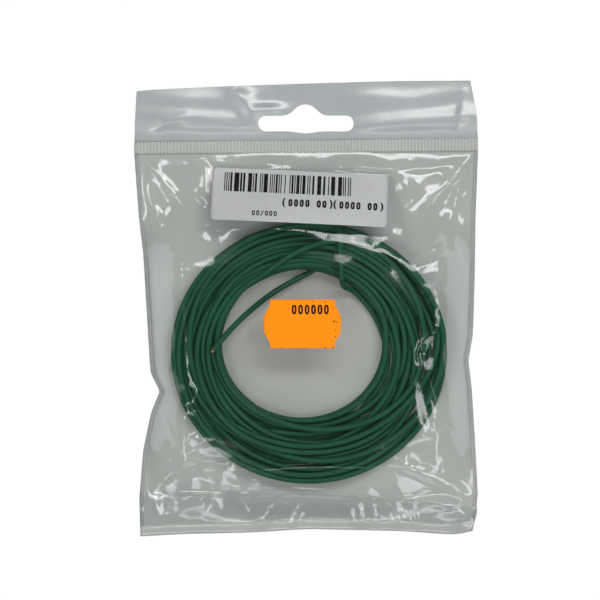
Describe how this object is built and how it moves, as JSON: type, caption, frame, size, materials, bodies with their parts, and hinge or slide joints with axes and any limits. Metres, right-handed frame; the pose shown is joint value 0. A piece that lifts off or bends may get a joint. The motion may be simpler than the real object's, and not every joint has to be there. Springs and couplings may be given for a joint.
{
  "type": "bagged hook-up wire coil",
  "caption": "Tied coil of green insulated hook-up wire in a clear header bag with a euro hang slot, a closing flap and two stickers.",
  "frame": {"origin": "middle of the bag's underside, on the surface that the bag lies on", "axes": "+X to the right and +Y towards the hang slot, seen from the front; +Z out of the bag's front"},
  "size_m": [0.115, 0.153, 0.0152],
  "materials": {
    "clear_film": "clear polypropylene film, glossy",
    "adhesive": "clear adhesive tape",
    "label_paper": "satin label paper",
    "sticker_paper": "orange price label paper",
    "insulation": "green PVC, satin",
    "conductor": "tinned copper strands"
  },
  "bodies": {
    "bag": {"header_back_ply": "clear_film", "header_front_ply": "clear_film", "header_weld": "clear_film", "pouch_back_film": "clear_film", "pouch_front_film": "clear_film", "left_side_seam": "clear_film", "right_side_seam": "clear_film", "barcode_label": "label_paper", "price_sticker": "sticker_paper"},
    "flap": {"closing_flap": "clear_film", "flap_adhesive_tape": "adhesive"},
    "wire": {"wire_coil": "insulation", "wire_tie_and_tail": "insulation", "wire_conductor": "conductor"}
  },
  "joints": [
    {"name": "flap_hinge", "type": "hinge", "parent": "bag", "child": "flap", "pos_m": [0, -0.0765, 0.0003], "axis": [1, 0, 0], "range_deg": [0, 140]},
    {"name": "coil_slide", "type": "slide", "parent": "bag", "child": "wire", "axis": [0, 1, 0], "range_m": [0, 0.005]}
  ]
}
